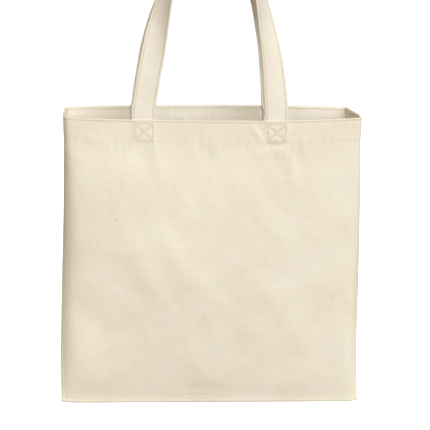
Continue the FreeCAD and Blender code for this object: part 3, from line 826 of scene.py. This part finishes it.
def canvas(name, base, deep, light, pitch=0.00066, bump=1.0, flecks=True, fuzz=0.25, hole_shade_rows=(), rim_shade_at=0.0, edge_row_shade_at=0.0):
    """Unbleached plain-weave cotton: round yarns over and under, thick and thin
    places in them, cloudy colour, seed flecks, a little fibre sheen."""
    m = bpy.data.materials.new(name)
    m.use_nodes = True
    nt = m.node_tree
    nt.nodes.clear()
    L = nt.links.new
    out = node(nt, "ShaderNodeOutputMaterial", 1500, 0)
    bs = node(nt, "ShaderNodeBsdfPrincipled", 1200, 0)
    L(bs.outputs[0], out.inputs[0])
    at = node(nt, "ShaderNodeAttribute", -1600, 0)
    at.attribute_name = "cloth"
    sep = node(nt, "ShaderNodeSeparateXYZ", -1400, 0)
    L(at.outputs["Vector"], sep.inputs[0])

    def math_(op, a, b=None, c=None):
        n = node(nt, "ShaderNodeMath", 0, 0)
        n.operation = op
        for i, v in enumerate((a, b, c)):
            if v is None:
                continue
            if isinstance(v, (int, float)):
                n.inputs[i].default_value = v
            else:
                L(v, n.inputs[i])
        return n.outputs[0]

    def scaled(vec):
        n = node(nt, "ShaderNodeVectorMath", -1200, 0)
        n.operation = "MULTIPLY"
        L(at.outputs["Vector"], n.inputs[0])
        n.inputs[1].default_value = vec
        return n.outputs[0]

    def noise_(vec, scale=1.0, detail=2.0, rough=0.5, dist=0.0):
        n = node(nt, "ShaderNodeTexNoise", -900, 0)
        n.inputs["Scale"].default_value = scale
        n.inputs["Detail"].default_value = detail
        n.inputs["Roughness"].default_value = rough
        n.inputs["Distortion"].default_value = dist
        L(vec, n.inputs["Vector"])
        return n.outputs["Fac"]

    # slow drift of the yarns, so that rows aren't ruler straight
    drift = math_("MULTIPLY", math_("SUBTRACT", noise_(scaled((60, 60, 60)), 1.0, 2.0), 0.5), 1.6)
    U = math_("ADD", math_("DIVIDE", sep.outputs[0], pitch), drift)
    V = math_("ADD", math_("DIVIDE", sep.outputs[1], pitch * 1.08), drift)
    fu, fv = math_("FLOOR", U), math_("FLOOR", V)
    pu = math_("SINE", math_("MULTIPLY", math_("FRACT", U), math.pi))
    pv = math_("SINE", math_("MULTIPLY", math_("FRACT", V), math.pi))
    wu = math_("COSINE", math_("MULTIPLY", math_("ADD", math_("SUBTRACT", V, 0.5), fu), math.pi))
    wv = math_("COSINE", math_("MULTIPLY", math_("ADD", math_("SUBTRACT", U, 0.5), fv), math.pi))
    warp = math_("MULTIPLY", pu, math_("ADD", math_("MULTIPLY", wu, 0.5), 0.5))
    weft = math_("MULTIPLY", pv, math_("SUBTRACT", 0.5, math_("MULTIPLY", wv, 0.5)))
    weave = math_("MAXIMUM", warp, weft)
    # slubs: long thick places along each yarn system
    slub_w = noise_(scaled((1 / (pitch * 1.7), 42, 30)), 1.0, 3.0, 0.6)
    slub_f = noise_(scaled((38, 1 / (pitch * 1.7), 30)), 1.0, 3.0, 0.6)
    slub = math_("ADD", math_("MULTIPLY", slub_w, 0.36), math_("MULTIPLY", slub_f, 0.64))
    nap = noise_(scaled((900, 900, 900)), 1.0, 4.0, 0.65)
    cloud = noise_(scaled((14, 14, 14)), 1.0, 3.0, 0.55, 0.4)
    mott = noise_(scaled((210, 190, 200)), 1.0, 3.0, 0.6)

    # colour
    ramp = node(nt, "ShaderNodeValToRGB", -100, 300)
    ramp.color_ramp.elements[0].position = 0.34
    ramp.color_ramp.elements[0].color = (*deep, 1)
    ramp.color_ramp.elements[1].position = 0.66
    ramp.color_ramp.elements[1].color = (*light, 1)
    mid = ramp.color_ramp.elements.new(0.5)
    mid.color = (*base, 1)
    mix = math_("ADD", math_("MULTIPLY", cloud, 0.24),
                math_("ADD", math_("MULTIPLY", slub, 0.36), math_("ADD", math_("MULTIPLY", mott, 0.15), math_("MULTIPLY", nap, 0.25))))
    L(mix, ramp.inputs[0])
    colour = ramp.outputs[0]
    # painted shade in the gaps between the yarns
    gap = node(nt, "ShaderNodeMix", 200, 200)
    gap.data_type = "RGBA"
    gap.blend_type = "MULTIPLY"
    L(math_("MULTIPLY", math_("SUBTRACT", 1.0, weave), 0.2), gap.inputs["Factor"])
    L(colour, gap.inputs[6])
    gap.inputs[7].default_value = (0.62, 0.50, 0.36, 1)
    colour = gap.outputs[2]
    if hole_shade_rows:
        # painted shade in the needle holes at the ends of every stitch
        patchy = noise_(scaled((34, 34, 34)), 1.0, 1.0)
        for at_len, pitch_, strong in hole_shade_rows:
            ph = math_("DIVIDE", sep.outputs[0], pitch_)
            ph = math_("MULTIPLY", math_("ABSOLUTE", math_("SUBTRACT", math_("FRACT", math_("ADD", ph, 0.5)), 0.5)), pitch_)
            off = math_("SUBTRACT", sep.outputs[1], at_len)
            r2 = math_("SQRT", math_("ADD", math_("MULTIPLY", ph, ph), math_("MULTIPLY", off, off)))
            mr = node(nt, "ShaderNodeMapRange", 300, -200)
            mr.interpolation_type = "SMOOTHSTEP"
            L(r2, mr.inputs["Value"])
            mr.inputs["From Min"].default_value = 0.00028
            mr.inputs["From Max"].default_value = 0.00095
            mr.inputs["To Min"].default_value = strong
            mr.inputs["To Max"].default_value = 0.0
            hm = node(nt, "ShaderNodeMix", 350, 200)
            hm.data_type = "RGBA"
            show = math_("MINIMUM", math_("MAXIMUM", math_("MULTIPLY", math_("SUBTRACT", patchy, 0.36), 4.2), 0.12), 1.15)
            L(math_("MULTIPLY", mr.outputs[0], show), hm.inputs["Factor"])
            L(colour, hm.inputs[6])
            hm.inputs[7].default_value = (0.26, 0.19, 0.11, 1)
            colour = hm.outputs[2]
    if hole_shade_rows:
        # painted shade in the needle holes along the squares and crosses
        needle_shade_node = node(nt, "ShaderNodeAttribute", -1600, -300)
        needle_shade_node.attribute_name = "needle"
        hm = node(nt, "ShaderNodeMix", 350, 200)
        hm.data_type = "RGBA"
        L(math_("MULTIPLY", needle_shade_node.outputs["Fac"], math_("MULTIPLY", mott, 0.6)), hm.inputs["Factor"])
        L(colour, hm.inputs[6])
        hm.inputs[7].default_value = (0.30, 0.22, 0.13, 1)
        colour = hm.outputs[2]
    if edge_row_shade_at:
        # painted shade in the sewn channel down each edge of a strap and in its needle holes
        off = math_("SUBTRACT", math_("ABSOLUTE", sep.outputs[0]), edge_row_shade_at)
        ph = math_("DIVIDE", sep.outputs[1], 0.0034)
        ph = math_("MULTIPLY", math_("ABSOLUTE", math_("SUBTRACT", math_("FRACT", math_("ADD", ph, 0.5)), 0.5)), 0.0034)
        r2 = math_("SQRT", math_("ADD", math_("MULTIPLY", ph, ph), math_("MULTIPLY", off, off)))
        got = []
        for value, lo, hi, strong in ((r2, 0.00028, 0.00095, 0.62), (math_("ABSOLUTE", off), 0.0002, 0.00095, 0.24)):
            mr = node(nt, "ShaderNodeMapRange", 300, -300)
            mr.interpolation_type = "SMOOTHSTEP"
            L(value, mr.inputs["Value"])
            mr.inputs["From Min"].default_value = lo
            mr.inputs["From Max"].default_value = hi
            mr.inputs["To Min"].default_value = strong
            mr.inputs["To Max"].default_value = 0.0
            got.append(mr.outputs[0])
        hm = node(nt, "ShaderNodeMix", 350, 300)
        hm.data_type = "RGBA"
        L(math_("MAXIMUM", got[0], got[1]), hm.inputs["Factor"])
        L(colour, hm.inputs[6])
        hm.inputs[7].default_value = (0.36, 0.27, 0.17, 1)
        colour = hm.outputs[2]
    if rim_shade_at:
        # painted shade along the rim fold: darkens the fold line to damp its highlight
        dd = math_("ABSOLUTE", math_("SUBTRACT", sep.outputs[1], rim_shade_at))
        rim_shade_range = node(nt, "ShaderNodeMapRange", 300, -400)
        rim_shade_range.interpolation_type = "SMOOTHSTEP"
        L(math_("SUBTRACT", dd, math_("MULTIPLY", mott, 0.0012)), rim_shade_range.inputs["Value"])
        rim_shade_range.inputs["From Min"].default_value = 0.0003
        rim_shade_range.inputs["From Max"].default_value = 0.0015
        rim_shade_range.inputs["To Min"].default_value = 0.45
        rim_shade_range.inputs["To Max"].default_value = 0.0
        rim_shade_mix = node(nt, "ShaderNodeMix", 350, 0)
        rim_shade_mix.data_type = "RGBA"
        rim_shade_mix.blend_type = "MULTIPLY"
        L(rim_shade_range.outputs[0], rim_shade_mix.inputs["Factor"])
        L(colour, rim_shade_mix.inputs[6])
        rim_shade_mix.inputs[7].default_value = (0.74, 0.70, 0.62, 1)
        colour = rim_shade_mix.outputs[2]
    if flecks:
        vo = node(nt, "ShaderNodeTexVoronoi", -900, -500)
        vo.voronoi_dimensions = "2D"
        vo.feature = "F1"
        vo.inputs["Scale"].default_value = 1.0
        vo.inputs["Randomness"].default_value = 1.0
        L(scaled((62, 50, 1.0)), vo.inputs["Vector"])
        sepc = node(nt, "ShaderNodeSeparateColor", -700, -600)
        L(vo.outputs["Color"], sepc.inputs[0])
        rare = math_("GREATER_THAN", sepc.outputs[0], 0.96)
        size = math_("ADD", math_("MULTIPLY", sepc.outputs[1], 0.04), 0.012)
        dot = node(nt, "ShaderNodeMapRange", -500, -500)
        dot.interpolation_type = "SMOOTHSTEP"
        L(math_("SUBTRACT", vo.outputs["Distance"], size), dot.inputs["Value"])
        dot.inputs["From Min"].default_value = 0.0
        dot.inputs["From Max"].default_value = 0.022
        dot.inputs["To Min"].default_value = 1.0
        dot.inputs["To Max"].default_value = 0.0
        fleck = math_("MULTIPLY", math_("MULTIPLY", dot.outputs[0], rare), math_("ADD", math_("MULTIPLY", sepc.outputs[2], 0.36), 0.2))
        fm = node(nt, "ShaderNodeMix", 400, 200)
        fm.data_type = "RGBA"
        L(fleck, fm.inputs["Factor"])
        L(colour, fm.inputs[6])
        fm.inputs[7].default_value = (0.30, 0.20, 0.11, 1)
        colour = fm.outputs[2]
    L(colour, bs.inputs["Base Color"])
    # roughness, a shade smoother on the crowns of the yarns
    L(math_("SUBTRACT", 0.93, math_("MULTIPLY", weave, 0.10)), bs.inputs["Roughness"])
    bs.inputs["Specular IOR Level"].default_value = 0.22
    bs.inputs["Sheen Weight"].default_value = fuzz
    bs.inputs["Sheen Roughness"].default_value = 0.55
    bs.inputs["Sheen Tint"].default_value = (1.0, 0.96, 0.90, 1)
    # relief
    height = math_("ADD", math_("MULTIPLY", weave, 0.55),
                   math_("ADD", math_("MULTIPLY", slub, 0.75), math_("ADD", math_("MULTIPLY", nap, 0.30), math_("MULTIPLY", mott, 0.9))))
    bp = node(nt, "ShaderNodeBump", 900, -300)
    bp.inputs["Strength"].default_value = 0.55 * bump
    bp.inputs["Distance"].default_value = 0.00030
    L(height, bp.inputs["Height"])
    L(bp.outputs[0], bs.inputs["Normal"])
    return m


def srgb(r, g, b):
    def f(c):
        c /= 255
        return c / 12.92 if c <= 0.04045 else ((c + 0.055) / 1.055) ** 2.4
    return (f(r), f(g), f(b))


PITCH = 3.4
ROW_PITCH = (2 * HALF - 4) / round((2 * HALF - 4) / PITCH)
# where along the cloth the painted shade of the hem rows' needle holes falls, and how strong it is
hem_hole_shade = []
for h in ROW_AT:
    for inside in (False, True):
        use = (ROWS[:, 1] > 0.2) if inside else (ROWS[:, 1] < 0.01)
        use &= (ROWS[:, 0] < 60) & (ROWS[:, 0] > 0.4)
        hh, ll = ROWS[use, 0], ALONG[use]
        o = np.argsort(hh)
        hem_hole_shade.append((float(np.interp(h, hh[o], ll[o])) * MM, ROW_PITCH * MM, 0.8 if h < 10 else 0.14))
mat_body = canvas("natural_canvas", srgb(233, 225, 209), srgb(221, 211, 192), srgb(240, 233, 219), hole_shade_rows=hem_hole_shade,
                  rim_shade_at=float(np.interp(0.0, [ROWS[k, 0] for k in range(OUT0 - 6, OUT0 + 1)], ALONG[OUT0 - 6:OUT0 + 1])) * MM)
mat_strap = canvas("strap_canvas", srgb(229, 221, 207), srgb(217, 208, 190), srgb(236, 229, 217), flecks=False, edge_row_shade_at=(STRAP / 2 - 2.7) * MM)
mat_seam = canvas("seam_canvas", srgb(229, 217, 195), srgb(215, 201, 176), srgb(238, 228, 209), flecks=False)


def thread_material():
    m = bpy.data.materials.new("cotton_thread")
    m.use_nodes = True
    nt = m.node_tree
    bs = nt.nodes["Principled BSDF"]
    at = node(nt, "ShaderNodeAttribute", -900, 0)
    at.attribute_name = "cloth"
    wave = node(nt, "ShaderNodeTexWave", -600, 0)
    wave.wave_type = "BANDS"
    wave.bands_direction = "DIAGONAL"
    wave.inputs["Scale"].default_value = 420.0
    wave.inputs["Distortion"].default_value = 1.2
    nt.links.new(at.outputs["Vector"], wave.inputs["Vector"])
    ramp = node(nt, "ShaderNodeValToRGB", -300, 200)
    ramp.color_ramp.elements[0].color = (*srgb(206, 194, 171), 1)
    ramp.color_ramp.elements[1].color = (*srgb(228, 218, 199), 1)
    nt.links.new(wave.outputs["Fac"], ramp.inputs[0])
    # painted shade at both ends of each stitch, where the thread dives into the cloth
    sp = node(nt, "ShaderNodeSeparateXYZ", -700, 400)
    nt.links.new(at.outputs["Vector"], sp.inputs[0])
    mr = node(nt, "ShaderNodeMapRange", -500, 400)
    mr.interpolation_type = "SMOOTHSTEP"
    nt.links.new(sp.outputs[2], mr.inputs["Value"])
    mr.inputs["From Min"].default_value = 0.00055
    mr.inputs["From Max"].default_value = 0.001
    mr.inputs["To Min"].default_value = 0.0
    mr.inputs["To Max"].default_value = 0.45
    mx = node(nt, "ShaderNodeMix", -100, 300)
    mx.data_type = "RGBA"
    nt.links.new(mr.outputs[0], mx.inputs["Factor"])
    nt.links.new(ramp.outputs[0], mx.inputs[6])
    mx.inputs[7].default_value = (0.30, 0.22, 0.13, 1)
    nt.links.new(mx.outputs[2], bs.inputs["Base Color"])
    bs.inputs["Roughness"].default_value = 0.72
    bs.inputs["Specular IOR Level"].default_value = 0.35
    bs.inputs["Sheen Weight"].default_value = 0.2
    bp = node(nt, "ShaderNodeBump", -100, -300)
    bp.inputs["Strength"].default_value = 0.5
    bp.inputs["Distance"].default_value = 0.0001
    nt.links.new(wave.outputs["Fac"], bp.inputs["Height"])
    nt.links.new(bp.outputs[0], bs.inputs["Normal"])
    return m


mat_thread = thread_material()
for ob in made:
    ob.data.materials.append(mat_thread)

# ---------------------------------------------------------- bodies and sheets
for side, node_name in ((-1, "front_panel"), (1, "back_panel")):
    ob = panels[side]
    ob.data.materials.append(mat_body)
    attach(ob, "bag")
    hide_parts(node_name)

for side, word in ((-1, "front"), (1, "back")):
    sob, thread = straps[side]
    sob.data.materials.append(mat_strap)
    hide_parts(word + "_handle", word + "_left_handle_end", word + "_right_handle_end")
    y = side * 29.0
    for ob in (sob, thread):
        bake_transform(ob)

# ------------------------------------------------------------------------ stage
FLOOR = (RIM - TALL) * MM - 1.0


def disc(name, radius, z, n=96):
    ang = 2 * np.pi * np.arange(n) / n
    ringv = []
    radii = [0.0] + list(radius * np.linspace(0.1, 1, 10))
    V = [(0, 0, z)]
    for r in radii[1:]:
        V += [(r * math.cos(a), r * math.sin(a), z) for a in ang]
    F = []
    for j in range(n):
        F.append((0, 1 + j, 1 + (j + 1) % n))
    for i in range(len(radii) - 2):
        for j in range(n):
            a, b = 1 + i * n + j, 1 + i * n + (j + 1) % n
            F.append((a, a + n, b + n))
            F.append((a, b + n, b))
    return make_mesh(name, np.array(V), np.array(F))


floor = disc("stage_floor", 4.5, FLOOR)
fm = bpy.data.materials.new("pale_floor")
fm.use_nodes = True
fb = fm.node_tree.nodes["Principled BSDF"]
fb.inputs["Base Color"].default_value = (0.55, 0.55, 0.55, 1)
fb.inputs["Emission Color"].default_value = (1, 1, 1, 1)
fb.inputs["Emission Strength"].default_value = 0.8
fb.inputs["Roughness"].default_value = 0.9
fb.inputs["Specular IOR Level"].default_value = 0.1
floor.data.materials.append(fm)
floor.visible_diffuse = False
floor.visible_glossy = False

# pale surround, lit evenly, seen but casting nothing
bpy.ops.mesh.primitive_uv_sphere_add(radius=12.0, segments=48, ring_count=24)
dome = bpy.context.object
dome.name = "stage_backdrop"
dm = bpy.data.materials.new("pale_backdrop")
dm.use_nodes = True
nt = dm.node_tree
nt.nodes.clear()
o_ = nt.nodes.new("ShaderNodeOutputMaterial")
e_ = nt.nodes.new("ShaderNodeEmission")
e_.inputs[0].default_value = (1, 1, 1, 1)
e_.inputs[1].default_value = 1.05
nt.links.new(e_.outputs[0], o_.inputs[0])
dome.data.materials.append(dm)
for p in dome.data.polygons:
    p.use_smooth = True
dome.visible_diffuse = False
dome.visible_glossy = False
dome.visible_shadow = False
dome.visible_transmission = False

# ----------------------------------------------------------------------- lights
world = bpy.data.worlds.new("studio")
bpy.context.scene.world = world
world.use_nodes = True
bg = world.node_tree.nodes["Background"]
bg.inputs[0].default_value = (1.0, 0.81, 0.50, 1)
bg.inputs[1].default_value = 0.26


def area(name, loc, target, size, power, colour=(1, 1, 1)):
    d = bpy.data.lights.new(name, "AREA")
    d.shape = "RECTANGLE"
    d.size, d.size_y = size
    d.energy = power
    d.color = colour
    o = bpy.data.objects.new(name, d)
    bpy.context.collection.objects.link(o)
    o.location = loc
    o.rotation_euler = (Vector(target) - Vector(loc)).to_track_quat("-Z", "Y").to_euler()
    return o


MIDZ = (RIM - TALL / 2) * MM


def from_angle(azim, elev, dist):
    a, e = math.radians(azim), math.radians(elev)
    return (dist * math.sin(a) * math.cos(e), -dist * math.cos(a) * math.cos(e), MIDZ + dist * math.sin(e))


def broad(name, azim, elev, strength, spread, colour):
    """A large far soft source."""
    d = bpy.data.lights.new(name, "SUN")
    d.energy = strength
    d.angle = math.radians(spread)
    d.color = colour
    o = bpy.data.objects.new(name, d)
    bpy.context.collection.objects.link(o)
    o.location = from_angle(azim, elev, 3)
    o.rotation_euler = (Vector((0, 0, MIDZ)) - Vector(o.location)).to_track_quat("-Z", "Y").to_euler()
    return o


broad("key", 30, 31, 3.1, 48, (0.885, 0.94, 1.0))
broad("fill", -27, 50, 1.15, 44, (0.98, 0.985, 1.0))
area("rear", from_angle(184, 4, 3.2), (0, 0, MIDZ), (2.0, 1.2), 92, (0.97, 0.985, 1.0))

# ----------------------------------------------------------------------- camera
AZ, EL, DIST, ROLL, FPX = -1.2, 20.7, 1.5, 0.29, 1231.0
AIM = Vector((0.0071, 0.0, (RIM - 128.0) * MM))
a, e = math.radians(AZ), math.radians(EL)
back = Vector((math.sin(a) * math.cos(e), -math.cos(a) * math.cos(e), math.sin(e)))
right = (-back).cross(Vector((0, 0, 1))).normalized()
up = right.cross(-back)
r = math.radians(ROLL)
R_ = right * math.cos(r) + up * math.sin(r)
U_ = up * math.cos(r) - right * math.sin(r)
cam = bpy.data.cameras.new("camera")
cam.sensor_width = 36.0
cam.lens = FPX / 430 * 36.0
cam.clip_start, cam.clip_end = 0.05, 60
co = bpy.data.objects.new("camera", cam)
bpy.context.collection.objects.link(co)
from mathutils import Matrix
M = Matrix((R_, U_, back)).transposed().to_4x4()
M.translation = AIM + back * DIST
co.matrix_world = M
bpy.context.scene.camera = co
bpy.context.scene.view_settings.view_transform = "Standard"
bpy.context.scene.view_settings.look = "None"
